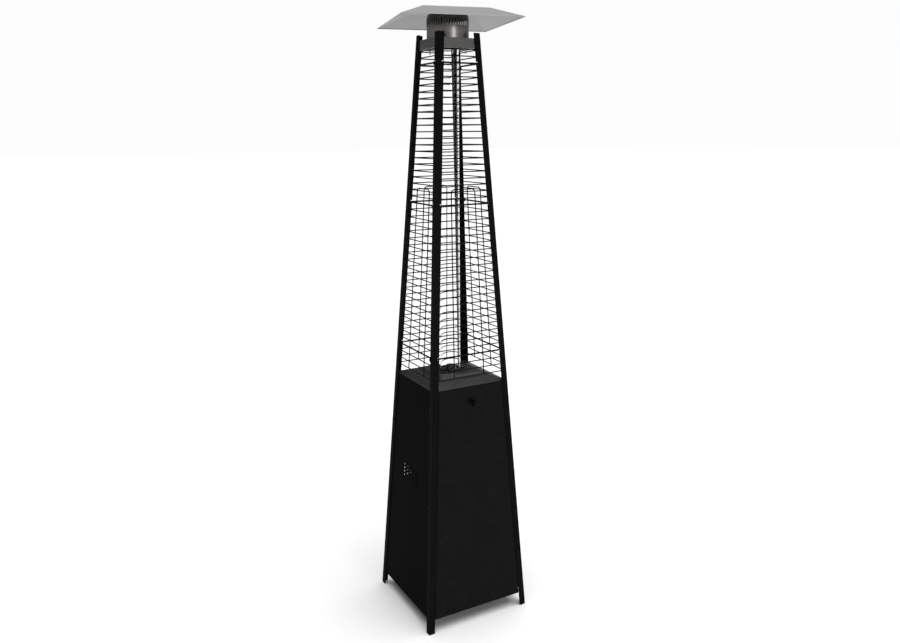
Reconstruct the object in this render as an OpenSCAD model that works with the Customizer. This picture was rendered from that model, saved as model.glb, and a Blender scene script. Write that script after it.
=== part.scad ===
// Pyramid-shaped outdoor gas heater: four leaning angle-iron legs, a cabinet for the gas
// bottle, a glass flame tube behind wire guards, and a square reflector on a steel neck.
// Millimetres, +Z up, origin on the ground at the centre. The door faces -Y.

/* [Overall] */
// Width across the outer corners of the legs, on the ground
base_w = 434; // [420:1:480]
// Width across the outer corners of the legs, at their tops
top_w = 164; // [162:1:176]
// Height of the leg tops above the ground
leg_top = 2186; // [2120:1:2230]

/* [Legs] */
// Width of each flange of a leg
leg_w = 24; // [22:1:26]
// Thickness of the leg steel
leg_t = 2.5; // [2:0.1:3]
// Diameter of the clearance hole for a panel screw
screw_hole_d = 5.4; // [5.3:0.1:6]
// Distance from the leg's outer corner to its screws
screw_inset = 12; // [10:1:14]

/* [Cabinet] */
// Height of the lower edge of the panels
cabinet_low = 56; // [40:1:80]
// Height of the upper edge of the panels
cabinet_top = 937; // [900:1:960]
// Thickness of the panel sheet
panel_t = 1.2; // [1:0.1:1.6]
// Gap between a leg flange and the sheet behind it
panel_gap = 0.2; // [0.2:0.1:0.5]
// Height of the lowest panel screw above the panels' lower edge
screw_low = 96; // [60:1:140]
// Distance of the highest panel screw below the panels' upper edge
screw_high = 65; // [40:1:90]
// Height of the middle of the vent holes
vent_z = 560; // [500:1:640]
// Diameter of a vent hole
vent_d = 7; // [5:0.5:9]
// Spacing of the vent holes across a panel
vent_across = 26; // [18:1:30]
// Spacing of the vent holes up a panel
vent_up = 15; // [12:1:20]
// Distance of each vent group on the rear panel from its middle
rear_vent_shift = 88; // [80:1:96]

/* [Door] */
// Gap between the door and the leg flanges beside it
door_gap = 2; // [1.5:0.1:3]
// Depth of the door's folded edge
door_depth = 10; // [9:0.5:12]
// Setback of the door from the outer face of the legs
door_recess = 0.4; // [0.2:0.1:1]
// Gap between the door and the rim of the tray above it
door_top_gap = 2; // [1.5:0.1:3]
// Height of the hinge axis above the door's lower edge
hinge_rise = 8; // [7:0.5:9]
// Depth of the hinge axis behind the outer face of the legs
hinge_depth = 6.5; // [6:0.1:7]
// Diameter of the hinge pin
hinge_pin_d = 6; // [5:0.5:7]
// Wall round the hinge bore
hinge_wall = 2; // [1.5:0.1:2.3]
// Length of the hinge boss on the door
hinge_boss = 8; // [6:0.5:12]
// Thickness of a hinge bracket
hinge_plate = 4; // [3:0.5:5]

/* [Lock] */
// Height of the lock
lock_z = 884; // [870:1:890]
// Diameter of the lock barrel
lock_d = 18; // [16:0.5:20]
// Diameter of the turning plug inside the barrel
plug_d = 10; // [8:0.5:12]
// Length of the cam from the plug's axis
cam_len = 36; // [34:1:40]
// Diameter of the key's bow
bow_d = 24; // [18:1:26]

/* [Tray] */
// Thickness of the tray sheet
tray_t = 1.5; // [1.2:0.1:2]
// Width of the sloping border of the tray
tray_border = 47; // [40:1:50]
// Rise of the sloping border
tray_rise = 16; // [12:1:20]
// Width of the flat ledge inside the border
ledge_w = 14; // [10:1:18]
// Width of the inner step's slope
step_w = 13; // [10:1:15]
// Rise of the inner step
step_rise = 10; // [6:1:14]
// Height of the skirt that hangs under the tray
skirt_h = 26; // [22:1:30]

/* [Burner] */
// Outer diameter of the burner cup
cup_d = 59; // [54:1:60]
// Depth of the burner cup under the tray
cup_depth = 34; // [28:1:40]
// Diameter of the burner head
head_d = 32; // [26:1:33]
// Height of the burner head above the tray
head_h = 22; // [16:1:30]
// Distance of the spark electrode and the flame sensor from the middle
probe_r = 22; // [21:0.5:23]

/* [Flame tube] */
// Outer diameter of the glass tube
tube_d = 78; // [76:1:82]
// Wall of the glass tube
tube_wall = 2.8; // [2:0.1:4]
// Length of the tube that stands above the top bracket
tube_above = 15; // [10:1:25]
// Wall of the ring that the tube stands in
seat_wall = 2.6; // [2:0.1:4]
// Height of that ring
seat_h = 10; // [9:1:16]

/* [Guards] */
// Diameter of a guard wire
wire_d = 4; // [3.5:0.1:4.2]
// Diameter of the rods at the sides of a guard
rod_d = 5; // [4.6:0.1:5.2]
// Diameter of the thick bars that hook into the legs
bar_d = 6; // [5.6:0.1:6.2]
// Height of the lower guard's lower hooked bar
bar_low = 1056; // [1030:1:1080]
// Height of the hooked bar between the guards
bar_mid = 1601; // [1560:1:1640]
// Height of the upper guard's hooked bar
bar_high = 2085; // [2070:1:2090]
// Spaces between wires in the lower guard, from bar to bar
lower_rows = 20; // [16:1:22]
// Spaces between wires in the upper guard, from bar to bar
upper_rows = 21; // [17:1:23]
// Wires below the lower guard's lower bar
wires_below = 3; // [2:1:3]
// Wires above the upper guard's bar
wires_above = 2; // [1:1:2]
// Distance of a side rod from the leg's outer corner
rod_inset = 13; // [12.8:0.1:13.2]
// Width of the hairpin wire at its top
hairpin_top_w = 96; // [80:1:110]
// Width of the hairpin wire at its foot
hairpin_low_w = 126; // [110:1:150]
// Rise of the hairpin above the middle bar
hairpin_rise = 54; // [50:1:60]
// Radius of the hairpin's corners
hairpin_r = 12; // [8:1:16]

/* [Neck and bracket] */
// Height of the top bracket's web
bracket_z = 2135; // [2130:1:2140]
// Height of the bracket's upright flanges
bracket_h = 33; // [26:1:38]
// Thickness of the bracket sheet
bracket_t = 2; // [1.5:0.1:2.5]
// Outer diameter of the neck
neck_d = 148; // [140:1:150]
// Thickness of the neck sheet
neck_t = 1; // [0.8:0.1:1.5]
// Height of the neck from the bracket to its lid
neck_h = 119; // [110:1:126]
// Radius of the neck's upper edge
neck_round = 20; // [10:1:22]
// Height of the exhaust slots
slot_h = 24; // [18:1:28]
// Width of an exhaust slot
slot_w = 5; // [4:0.5:6.5]

/* [Reflector] */
// Side of the square reflector at its rim
reflector_w = 420; // [400:1:500]
// Side of the reflector's flat top
reflector_top_w = 234; // [200:1:250]
// Fall of the reflector from its flat top to its rim
reflector_drop = 37; // [30:1:50]
// Height of the reflector's folded edge
reflector_lip = 2; // [2:0.5:8]
// Thickness of the reflector sheet
reflector_t = 1.2; // [1:0.1:1.5]
// Angle that the reflector is turned on the neck
reflector_turn = -13; // [-45:1:45]
// Length of the spacers between neck and reflector
spacer_h = 4.5; // [4:0.5:8]
// Distance of the reflector studs from the middle
stud_r = 43; // [35:1:44]

/* [Controls] */
// Height of the knob and the igniter on the rear panel
control_z = 868; // [862:1:872]
// Width of the control plate
control_w = 124; // [110:1:130]
// Height of the control plate
control_h = 72; // [64:1:76]
// Distance of the knob from the plate's middle
knob_x = 28; // [25:1:32]
// Distance of the igniter from the plate's middle
igniter_x = 34; // [30:1:38]
// Diameter of the control knob
knob_d = 44; // [36:1:46]
// Diameter of the valve stem
stem_d = 8; // [6:0.5:9]
// Diameter of the igniter button
button_d = 12; // [10:0.5:13]
// Diameter of the gas pipe
pipe_d = 8; // [6:0.5:9]
// Diameter of the hose nozzle at the gas inlet
nozzle_d = 10; // [8:0.5:11]
// Length of the hose nozzle
nozzle_len = 22; // [18:1:26]

/* [Hidden] */
$fn = 48;
wire_fn = 24;
eps = 0.01;                                   // overlap that makes a clean union
clear = 0.3;                                  // clearance between pieces that stand still
run_clear = 0.06;                             // radial clearance of a turning or sliding fit
cut = 1;                                      // how far a cut passes beyond a surface
base_half = base_w / 2;
slope = (base_w - top_w) / 2 / leg_top;       // how far a face leans in for each mm of height
lean = atan(slope);
leg_run = sqrt(1 + 2 * slope * slope);
fit_in = leg_t + clear + panel_gap;           // inside the leg flange with clearance
panel_inset = leg_t + panel_gap + panel_t + clear;  // clear of the sheet round the corner

function half_at(z) = base_half - z * slope;  // half width of the pyramid at a height
function up(z) = z / cos(lean);               // distance up a leaning face to a height
function edge_at(w) = base_half - w * sin(lean);

panel_low = up(cabinet_low);
panel_high = up(cabinet_top) - clear;
screw_rows = [panel_low + screw_low, (panel_low + panel_high) / 2, panel_high - screw_high];
screw_d = 5;
screw_len = 9;
head_d_m5 = 9.5;
head_h_m5 = 2.8;
head_gap = 0.1;

door_low = panel_low;
door_high = panel_high - door_top_gap;
door_inset = leg_w + door_gap;
hinge_w = door_low + hinge_rise;
hinge_r = hinge_pin_d / 2 + run_clear;
hinge_plate_w = 26;
hinge_plate_inset = fit_in + panel_t + clear + hinge_plate_w / 2 * slope;
hinge_plate_d = 14;

skirt_in = door_recess + door_depth + clear;  // depth of the tray's skirt behind the leg faces
lock_w = up(lock_z);
barrel_back = 13;
barrel_flange = 26;
barrel_flange_t = 2.5;
nut_d = 26;
nut_t = 4;
cam_gap = 1.5;
cam_depth = skirt_in + tray_t + skirt_h * slope + cam_gap;
cam_t = 2.5;
cam_w = 14;
key_t = 2.4;
key_shank = 5;
key_turn = 25;
plug_front = -barrel_flange_t - 1;

shelf_top = 70;
shelf_t = 1.5;
shelf_flange = 14;
shelf_front = 24;
corner_cut = leg_w + 8;
ring_d = 240;
ring_h = 6;
ring_t = 3;

tray_half = half_at(cabinet_top) - fit_in;
ledge_half = tray_half - tray_border;
step_half = ledge_half - ledge_w;
top_half = step_half - step_w;
tray_mid = cabinet_top + tray_rise;
tray_top = tray_mid + step_rise;
skirt_half = half_at(cabinet_top) - skirt_in;
weld_gap = 0.05;                              // between two sheets that are spot-welded

cup_r = cup_d / 2;
cup_flange = 3.5;
cup_wall = 1.2;
cup_low = tray_top - cup_depth;
electrode_at = -10;
sensor_at = 100;
electrode_r = 3;
sensor_r = 2.4;
injector_r = 7;
injector_h = 14;

seat_floor = 2;
seat_in = cup_r + cup_flange + clear;
tube_r = tube_d / 2;
seat_r = tube_r + clear;
tube_low = tray_top + seat_floor + clear;
tube_high = bracket_z + bracket_t + tube_above;
clip_angles = [-12, 108, 228];
clip_t = 2;
clip_w = 12;
clip_foot = 14;
m4_head = 7;
m4_h = 2.4;
m4_d = 4;
m4_hole = 4.4;
m4_len = 6;

upper_depth = leg_t + clear + bar_d / 2;      // depth of the upper guards' wires
lower_depth = upper_depth + 1;                // the lower guards lie a little further in
hairpin_bends = 2;
hairpin_back = wire_d - 0.6;                  // hairpin behind the wires, sunk in by the weld
lower_pitch = (bar_mid - bar_low) / lower_rows;
upper_pitch = (bar_high - bar_mid) / upper_rows;
corner_gap = 0.5;
hook_inset = leg_w - 3.5;
hook_d = bar_d - 0.8;
hook_tip_d = hook_d - 0.4;
hook_out = hook_tip_d / 2 + clear;
hook_drop = 9;
notch_in = leg_w - hook_inset + hook_d / 2 + 0.6;
notch_up = 5;

web_half = half_at(bracket_z) - fit_in;
gasket_t = 4;
gasket_w = 6;
neck_low = bracket_z + bracket_t + clear;
neck_r = neck_d / 2;
neck_foot = 12;
neck_screw_r = neck_r - 8;
neck_bolt_nut = 4;                            // height of the nuts under the bracket
neck_bolt_end = 15;                           // how far the bolts reach below the web
neck_bolt_rise = 8;                           // how far they reach above it
neck_lid = neck_low + neck_h;
slot_n = 48;
slot_below_lid = neck_round + 2;

reflector_low = neck_lid + spacer_h;          // underside of the reflector's flat top
reflector_high = reflector_low + reflector_t;
stud_d = 6;
stud_hole_r = 3.3;
spacer_r = 8;
nut_h = 8;
nut_hex = 10;
nut_hex_h = 3.5;
nut_dome_r = nut_h / 2;
nut_bore = 4.5;
stud_head_h = 3;
stud_grip = 2;                                // how deep a stud sits in its hexagon head
stud_angles = [45, 135, 225, 315];

control_w0 = up(control_z);
stem_gap = 0.6;                               // between the stem and the plate around it
valve_floor = 4;
knob_skirt_t = 4;
knob_step = 5;                                // the skirt reaches this far past the knob's body
knob_bar = [8, 12];                           // width and length of the bar across the knob
knob_bar_out = 3;
knob_bar_inset = 2;
igniter_flange = 3;
igniter_flange_t = 2;
tilt_size = [22, 20, 32];
lead_low = 36;                                // lowest run of the spark lead, below the burner cup
plate_t = 1.5;
plate_depth = leg_t + panel_gap - plate_t;    // the plate lies on the outside of the rear panel
window_rim = 12;
valve_in = 14;
valve_len = 36;
valve_w = 40;
valve_h = 48;
valve_boss = 16;
stem_out = 14;
stem_in = 40;
knob_gap = 3;
knob_len = 19;
igniter_r = 9;
igniter_len = 40;
button_out = 8;
button_in = 12;
button_room = 20;
hex_d = 19;
hex_h = 8;
ball = 1.14;                                  // the welded balls at a pipe's bends are a little fatter
lead_d = 3;
lead_bend = 14;                               // straight length behind the valve and the igniter
nozzle_bore = 5;
copper_d = 2.6;
// Route points of the pipe and leads inside the cabinet, [x, y, z]
stem_y = half_at(control_z) - valve_in - valve_len / 2;
pipe_z = control_z + valve_h / 2 + 18;
pipe_points = [[knob_x, stem_y, control_z + valve_h / 2 - 6], [knob_x, stem_y, pipe_z],
               [0, 0, pipe_z], [0, 0, cup_low - injector_h + 2]];

black = [0.09, 0.09, 0.09];
steel = [0.62, 0.62, 0.60];

// ---- Shared helpers

// Children drawn on one leaning face: x along the face, y inwards, z up the slope
module face(side) rotate([0, 0, 90 * side]) translate([0, -base_half, 0]) rotate([-lean, 0, 0]) children();

// A flat sheet on a face, from an outline of [along, up] points
module sheet(depth, t, points)
    translate([0, depth + t, 0]) rotate([90, 0, 0]) linear_extrude(t) polygon(points);

function trapezoid(low, high, inset) = [
    [-(edge_at(low) - inset), low], [edge_at(low) - inset, low],
    [edge_at(high) - inset, high], [-(edge_at(high) - inset), high]];

// A round bar along y, from one depth to another
module rod_y(d, from, to) translate([0, to, 0]) rotate([90, 0, 0]) cylinder(d = d, h = to - from);

// A square frustum with its centre on the z axis
module frustum(z0, half0, z1, half1) translate([0, 0, z0]) rotate([0, 0, 45])
    cylinder(h = z1 - z0, r1 = half0 * sqrt(2), r2 = half1 * sqrt(2), $fn = 4);

module block(half, z0, z1) translate([-half, -half, z0]) cube([2 * half, 2 * half, z1 - z0]);

module ring(r_out, r_in, z0, z1) translate([0, 0, z0]) difference() {
    cylinder(r = r_out, h = z1 - z0);
    translate([0, 0, -cut]) cylinder(r = r_in, h = z1 - z0 + 2 * cut);
}

// Pan-head screw: its head outside the sheet, its shank pointing inwards along y
module screw(d, len, head_d, head_h) {
    rod_y(head_d, -head_gap - head_h, -head_gap);
    rod_y(d, -head_gap - eps, len);
}

// A straight round segment between two points
module segment(a, b, d) {
    v = b - a;
    flat = norm([v[0], v[1]]);
    translate(a) rotate([0, atan2(flat, v[2]), atan2(v[1], v[0])]) cylinder(d = d, h = norm(v));
}

module bent_pipe(points, d) {
    for (i = [0 : len(points) - 2]) segment(points[i], points[i + 1], d);
    for (i = [1 : len(points) - 2]) translate(points[i]) sphere(d = d * ball);
}

// ---- Legs

module leg_bar() translate([-base_half, -base_half, 0])
    rotate([-asin(slope / leg_run), lean, 0]) translate([0, 0, -leg_w])
    linear_extrude(leg_top * leg_run + 2 * leg_w)
    polygon([[0, 0], [leg_w, 0], [leg_w, leg_t], [leg_t, leg_t], [leg_t, leg_w], [0, leg_w]]);

// Notches in the flange edge that take the hooks of the guards
module hook_notches(sign) for (z = [bar_low, bar_mid, bar_high]) {
    w = up(z);
    translate([sign * (edge_at(w) - leg_w + notch_in / 2), 0, w + (notch_up - bar_d / 2) / 2])
        cube([notch_in + 2 * eps, 4 * leg_t, notch_up + bar_d / 2 + 2 * clear], center = true);
}

module panel_holes(sign) for (w = screw_rows)
    translate([sign * (edge_at(w) - screw_inset), 0, w]) rod_y(screw_hole_d, -cut, 3 * leg_t);

bracket_screw_w = up(bracket_z + bracket_h / 2);
module bracket_hole(sign)
    translate([sign * (edge_at(bracket_screw_w) - screw_inset), 0, bracket_screw_w])
    rod_y(screw_hole_d, -cut, 3 * leg_t);

// One leg at the front left corner; near is its front flange, side is its left flange
module corner_leg(near_panel, side_panel, near_bracket) color(black) difference() {
    leg_bar();
    block(base_w, -2 * leg_w, 0);
    block(base_w, leg_top, leg_top + 2 * leg_w);
    face(0) hook_notches(-1);
    face(3) hook_notches(1);
    if (near_panel) face(0) panel_holes(-1);
    if (side_panel) face(3) panel_holes(1);
    if (near_bracket) face(0) bracket_hole(-1); else face(3) bracket_hole(1);
}
module leg_front_left() corner_leg(false, true, true);
module leg_front_right() rotate([0, 0, 90]) corner_leg(true, false, false);
module leg_rear_right() rotate([0, 0, 180]) corner_leg(true, true, true);
module leg_rear_left() rotate([0, 0, 270]) corner_leg(true, true, false);

// ---- Cabinet panels

module vent_group(x) for (i = [-2 : 2], j = [-2 : 2])
    translate([x + i * vent_across, 0, up(vent_z) + j * vent_up]) rod_y(vent_d, 0, 3 * leg_t);

module panel_blank() difference() {
    sheet(leg_t + panel_gap, panel_t, trapezoid(panel_low, panel_high, panel_inset));
    panel_holes(-1);
    panel_holes(1);
}

module side_panel(side) color(black) face(side) difference() {
    panel_blank();
    vent_group(0);
}
module panel_right() side_panel(1);
module panel_left() side_panel(3);
module panel_rear() color(black) face(2) difference() {
    panel_blank();
    rear_vents();
    translate([0, 0, control_w0])
        cube([control_w - 2 * window_rim, 6 * leg_t, control_h - 2 * window_rim], center = true);
    control_holes(3 * leg_t);
}

rear_vent_across = 14;
module rear_vents() for (side = [-1, 1], i = [-2 : 2], j = [-2 : 2])
    translate([side * rear_vent_shift + i * rear_vent_across, 0, up(vent_z - 50) + j * vent_up])
    rod_y(vent_d, 0, 3 * leg_t);

// ---- Door, hinge and lock

module door_panel() color(black) face(0) difference() {
    union() {
        difference() {
            sheet(door_recess, door_depth, trapezoid(door_low, door_high, door_inset));
            sheet(door_recess + panel_t, door_depth,
                trapezoid(door_low + panel_t, door_high - panel_t, door_inset + panel_t));
        }
        for (side = [-1, 1]) mirror([side < 0 ? 1 : 0, 0, 0])
            translate([edge_at(hinge_w) - door_inset - hinge_boss - panel_t / 2, hinge_depth, hinge_w])
            rotate([0, 90, 0]) cylinder(r = hinge_r + hinge_wall, h = hinge_boss);
    }
    translate([-base_w, hinge_depth, hinge_w]) rotate([0, 90, 0]) cylinder(r = hinge_r, h = 2 * base_w);
    translate([0, 0, lock_w]) rod_y(lock_d + clear, -cut, 3 * panel_t);
}

// Plate with a pin that the door turns on
module hinge_bracket(sign) color(steel) face(0) mirror([sign < 0 ? 1 : 0, 0, 0]) {
    x = edge_at(hinge_w) - hinge_plate_inset - hinge_plate;
    translate([x, leg_t + clear / 3, hinge_w - hinge_plate_w / 2])
        cube([hinge_plate, hinge_plate_d, hinge_plate_w]);
    pin_x = edge_at(hinge_w) - door_inset - hinge_boss - panel_t / 2;
    translate([pin_x, hinge_depth, hinge_w]) rotate([0, 90, 0])
        cylinder(d = hinge_pin_d, h = x - pin_x + eps);
}
module hinge_bracket_left() hinge_bracket(-1);
module hinge_bracket_right() hinge_bracket(1);

module at_lock() face(0) translate([0, 0, lock_w]) children();

module lock_barrel() color(steel) at_lock() difference() {
    union() {
        rod_y(lock_d, -eps, barrel_back);
        rod_y(barrel_flange, -barrel_flange_t, door_recess - clear / 3);
    }
    rod_y(plug_d + 2 * run_clear, -barrel_back, 2 * barrel_back);
}
module lock_nut() color(steel) at_lock() difference() {
    translate([0, door_recess + panel_t + clear / 3 + nut_t, 0]) rotate([90, 0, 0])
        cylinder(d = nut_d, h = nut_t, $fn = 6);
    rod_y(lock_d + clear / 3, 0, barrel_back);
}
module lock_plug() color(steel) at_lock() difference() {
    rod_y(plug_d, plug_front, cam_depth + eps);
    rotate([0, key_turn, 0]) translate([-key_t / 2 - clear / 2, plug_front - cut, -key_shank / 2 - clear / 2])
        cube([key_t + clear, key_shank + cut, key_shank + clear]);
}
// Key: a blade in the plug and a round bow that hangs to one side
module lock_key() color(steel) at_lock() rotate([0, key_turn, 0]) difference() {
    union() {
        translate([-key_t / 2, plug_front - 4, -key_shank / 2])
            cube([key_t, key_shank + 4 - clear, key_shank]);
        translate([-key_t / 2, plug_front - 3 - bow_d / 2, -bow_d / 4]) rotate([0, 90, 0])
            cylinder(d = bow_d, h = key_t);
    }
    translate([-key_t, plug_front - 3 - bow_d / 2, -bow_d / 3]) rotate([0, 90, 0])
        cylinder(d = bow_d / 3, h = 2 * key_t);
}
// Cam: at rest it points along the door, and a quarter turn lifts it behind the tray's skirt
module lock_cam() color(steel) at_lock() {
    rod_y(cam_w, cam_depth, cam_depth + cam_t);
    translate([0, cam_depth, -cam_w / 2]) cube([cam_len, cam_t, cam_w]);
}

// ---- Base

// Shelf spot-welded inside the panels' lower edges, open towards the door
module shelf_solid(inset) {
    low = shelf_top - shelf_flange;
    side = fit_in + panel_t + inset;
    frustum(low, half_at(low) - side, shelf_top - inset, half_at(shelf_top - inset) - side);
}
module base_shelf() color(black) difference() {
    shelf_solid(0);
    difference() {
        shelf_solid(shelf_t);
        block(base_half, shelf_top - shelf_t, shelf_top + cut);
        front_cut(shelf_front + shelf_t);
    }
    front_cut(shelf_front);
    for (x = [-1, 1], y = [-1, 1]) translate([x * base_half, y * base_half, 0])
        cube([2 * corner_cut, 2 * corner_cut, 4 * shelf_top], center = true);
}
module front_cut(inset) translate([-base_half, -base_half - cut, 0])
    cube([base_w, inset + base_half - half_at(shelf_top) + cut, 2 * shelf_top]);
module bottle_ring() color(black) ring(ring_d / 2, ring_d / 2 - ring_t, shelf_top, shelf_top + ring_h);

// ---- Tray

module tray() color([0.13, 0.13, 0.14]) difference() {
    union() {
        frustum(cabinet_top, tray_half, tray_mid, ledge_half);
        frustum(tray_mid - eps, step_half, tray_top, top_half);
    }
    under_tray(tray_t);
    block(tray_half, cabinet_top - 2 * tray_t, cabinet_top);
    cylinder(r = cup_r + clear, h = 2 * tray_top);
}
module under_tray(drop) translate([0, 0, -drop]) {
    frustum(cabinet_top, tray_half, tray_mid, ledge_half);
    frustum(tray_mid - tray_t, step_half, tray_top, top_half);
}

// Skirt spot-welded under the tray, which closes the gap behind the door's upper edge
module tray_skirt() color([0.13, 0.13, 0.14]) difference() {
    intersection() {
        block(skirt_half, cabinet_top - skirt_h, tray_mid);
        union() {
            block(tray_half, cabinet_top - skirt_h - cut, cabinet_top - tray_t - weld_gap + eps);
            under_tray(tray_t + weld_gap);
        }
    }
    block(skirt_half - tray_t, cabinet_top - skirt_h - cut, tray_mid + cut);
}

// ---- Burner

module at_probe(angle) rotate([0, 0, angle]) translate([probe_r, 0, 0]) children();

module burner_cup() color(steel) difference() {
    union() {
        translate([0, 0, cup_low]) cylinder(r = cup_r, h = cup_depth + eps);
        translate([0, 0, tray_top]) cylinder(r = cup_r + cup_flange, h = cup_wall);
    }
    translate([0, 0, cup_low + cup_wall]) cylinder(r = cup_r - cup_wall, h = 2 * cup_depth);
    at_probe(electrode_at) cylinder(r = electrode_r + clear, h = tray_top);
    at_probe(sensor_at) cylinder(r = sensor_r + clear, h = tray_top);
    translate([0, 0, cup_low - cut]) cylinder(r = injector_r / 2, h = 2 * cut + cup_wall);
}
port_n = 12;
port_d = 3;
port_z = 6;
module burner_head() color([0.25, 0.25, 0.25]) difference() {
    top = tray_top + head_h;
    translate([0, 0, cup_low + cup_wall]) rotate_extrude() difference() {
        union() {
            square([head_d / 2, top - cup_low - cup_wall - 6]);
            square([head_d / 2 - 6, top - cup_low - cup_wall]);
            translate([head_d / 2 - 6, top - cup_low - cup_wall - 6]) circle(r = 6);
        }
        square([head_d / 2 - cup_wall, top - cup_low - 2 * cup_wall - 6]);
        translate([-head_d, 0]) square([head_d, 2 * top]);
    }
    for (i = [0 : port_n - 1], j = [0, 1]) rotate([0, 0, (i + j / 2) * 360 / port_n])
        translate([head_d / 4, 0, tray_top + port_z + port_z * j]) rotate([0, 90, 0])
        cylinder(d = port_d, h = head_d);
}
module gas_injector() color([0.72, 0.58, 0.28]) translate([0, 0, cup_low - injector_h]) {
    cylinder(r = injector_r, h = injector_h - clear / 3, $fn = 6);
}
module spark_electrode() color([0.9, 0.88, 0.84]) at_probe(electrode_at) {
    translate([0, 0, cup_low - 8]) cylinder(r = electrode_r, h = cup_depth + 12);
    translate([0, 0, tray_top + 4 - eps]) cylinder(d = 2, h = 18);
}
sensor_top = tray_top + 12;
// Flame sensor with the copper lead that runs down to the valve
module flame_sensor() color([0.72, 0.42, 0.25]) {
    at_probe(sensor_at) translate([0, 0, cup_low - 6]) cylinder(r = sensor_r, h = sensor_top - cup_low + 6);
    foot = [probe_r * cos(sensor_at), probe_r * sin(sensor_at), cup_low - 5];
    back = [knob_x - 10, half_at(control_z) - valve_in - valve_len - clear, control_z];
    low = cup_low - 30;
    bent_pipe([foot, [foot[0], foot[1], low], [back[0], back[1] - lead_bend, low],
        [back[0], back[1] - lead_bend, back[2]], back], copper_d);
}

// ---- Flame tube

module tube_seat() color(steel) difference() {
    translate([0, 0, tray_top]) cylinder(r = seat_r + seat_wall, h = seat_h);
    translate([0, 0, tray_top + seat_floor]) cylinder(r = seat_r, h = seat_h);
    translate([0, 0, tray_top - cut]) cylinder(r = seat_in, h = seat_h);
}
module at_clips() for (angle = clip_angles) rotate([0, 0, angle])
    translate([seat_r + seat_wall + clear / 3, 0, tray_top]) children();
module tube_clips() color(black) at_clips() difference() {
    union() {
        translate([0, -clip_w / 2, 0]) cube([clip_t, clip_w, seat_h]);
        translate([0, -clip_w / 2, 0]) cube([clip_foot, clip_w, clip_t]);
    }
    translate([(clip_foot + clip_t) / 2, 0, -cut]) cylinder(d = 4.4, h = clip_t + 2 * cut);
}
module clip_screws() color(steel) at_clips() translate([(clip_foot + clip_t) / 2, 0, 0]) {
    translate([0, 0, clip_t + head_gap]) cylinder(d = m4_head, h = m4_h);
    translate([0, 0, clear / 3]) cylinder(d = m4_d, h = clip_t + head_gap);
}
module glass_tube() color([0.85, 0.93, 0.95, 0.35]) ring(tube_r, tube_r - tube_wall, tube_low, tube_high);
module tube_gasket() color([0.7, 0.25, 0.15])
    ring(tube_r + clear + gasket_w, tube_r + clear / 3, bracket_z + bracket_t, bracket_z + bracket_t + gasket_t);

// ---- Guards

// A wire across a face at a height, up to the side rods
module wire(z, depth) translate([-(edge_at(up(z)) - rod_inset), depth, up(z)]) rotate([0, 90, 0])
    cylinder(d = wire_d, h = 2 * (edge_at(up(z)) - rod_inset), $fn = wire_fn);

module side_rods(z0, z1, depth) for (sign = [-1, 1]) segment(
    [sign * (edge_at(up(z0)) - rod_inset), depth, up(z0)],
    [sign * (edge_at(up(z1)) - rod_inset), depth, up(z1)], rod_d);

// A thick bar whose ends hook outwards through the notches in the legs
module hooked_bar(z, depth) {
    w = up(z);
    half = edge_at(w) - depth - bar_d / 2 - corner_gap;
    translate([-half, depth, w]) rotate([0, 90, 0]) cylinder(d = bar_d, h = 2 * half);
    for (sign = [-1, 1]) translate([sign * (edge_at(w) - hook_inset), 0, w]) {
        rod_y(hook_d, -hook_out - hook_tip_d / 2 - eps, depth);
        translate([0, -hook_out, -hook_drop]) cylinder(d = hook_tip_d, h = hook_drop);
    }
}

// The hairpin: one wire bent into two slanting legs with a rounded top
module hairpin(depth) {
    foot = up(bar_low - wires_below * lower_pitch);
    top = up(bar_mid + hairpin_rise);
    x = hairpin_top_w / 2 - hairpin_r;
    arc = [for (i = [0 : hairpin_bends]) let (a = i * 90 / hairpin_bends)
        [x + hairpin_r * cos(a), depth, top - hairpin_r * (1 - sin(a))]];
    half = concat([[hairpin_low_w / 2, depth, foot]], arc);
    other = [for (i = [len(half) - 1 : -1 : 0]) [-half[i][0], half[i][1], half[i][2]]];
    bent_pipe(concat(half, other), wire_d);
}

module lower_guard(side) color(black) face(side) {
    foot = bar_low - wires_below * lower_pitch;
    side_rods(foot - rod_d, bar_mid, lower_depth);
    hooked_bar(bar_low, lower_depth);
    hooked_bar(bar_mid, lower_depth);
    for (i = [-wires_below : lower_rows - 1]) if (i != 0) wire(bar_low + i * lower_pitch, lower_depth);
    hairpin(lower_depth + hairpin_back);
}
module upper_guard(side) color(black) face(side) {
    foot = bar_mid + bar_d / 2 + clear;
    side_rods(foot, bar_high + wires_above * upper_pitch, upper_depth);
    hooked_bar(bar_high, upper_depth);
    for (i = [1 : upper_rows + wires_above]) if (i != upper_rows) wire(bar_mid + i * upper_pitch, upper_depth);
}
module guard_lower_front() lower_guard(0);
module guard_lower_right() lower_guard(1);
module guard_lower_rear() lower_guard(2);
module guard_lower_left() lower_guard(3);
module guard_upper_front() upper_guard(0);
module guard_upper_right() upper_guard(1);
module guard_upper_rear() upper_guard(2);
module guard_upper_left() upper_guard(3);

// ---- Top bracket, neck and reflector

module neck_screw_spots() for (angle = stud_angles) rotate([0, 0, angle])
    translate([neck_screw_r, 0, 0]) children();

module top_bracket() color(steel) difference() {
    union() {
        translate([-web_half, -web_half, bracket_z]) cube([2 * web_half, 2 * web_half, bracket_t]);
        for (side = [0 : 3]) face(side) sheet(leg_t + panel_gap, bracket_t,
            trapezoid(up(bracket_z) + bracket_t / 2, up(bracket_z + bracket_h), fit_in));
    }
    cylinder(r = tube_r + clear, h = 2 * bracket_z);
    for (side = [0, 2]) face(side) { bracket_hole(-1); bracket_hole(1); }
    neck_screw_spots() translate([0, 0, bracket_z - cut]) cylinder(d = screw_hole_d, h = 4 * bracket_t);
}

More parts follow.
